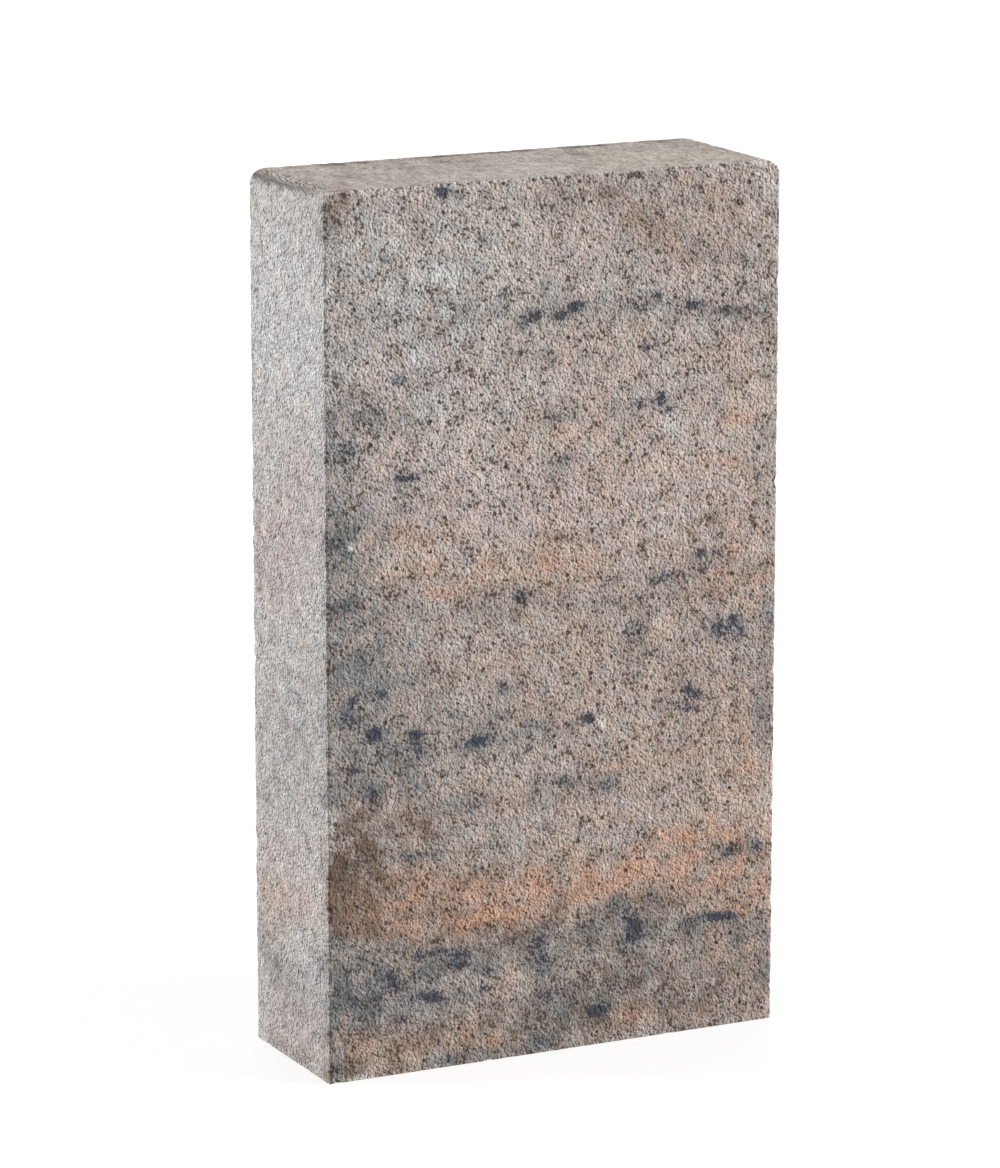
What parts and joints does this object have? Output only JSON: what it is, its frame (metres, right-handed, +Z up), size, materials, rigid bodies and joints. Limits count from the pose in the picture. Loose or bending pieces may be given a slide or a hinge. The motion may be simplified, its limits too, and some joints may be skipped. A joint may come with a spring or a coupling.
{
  "type": "concrete palisade",
  "caption": "Upright flat cast concrete palisade with rounded head corners, set side by side as a garden edging or low retaining wall.",
  "frame": {"origin": "centre of the flat foot, on the surface that the slab stands on", "axes": "+Z up from the foot to the head, X across the broad faces, the pictured broad face to -Y"},
  "size_m": [0.225, 0.08, 0.4],
  "materials": {
    "concrete": "open-grained cast concrete, sand to grey, with layered dark and salmon pigment streaks"
  },
  "bodies": {
    "root": {"palisade": "concrete"}
  },
  "joints": []
}
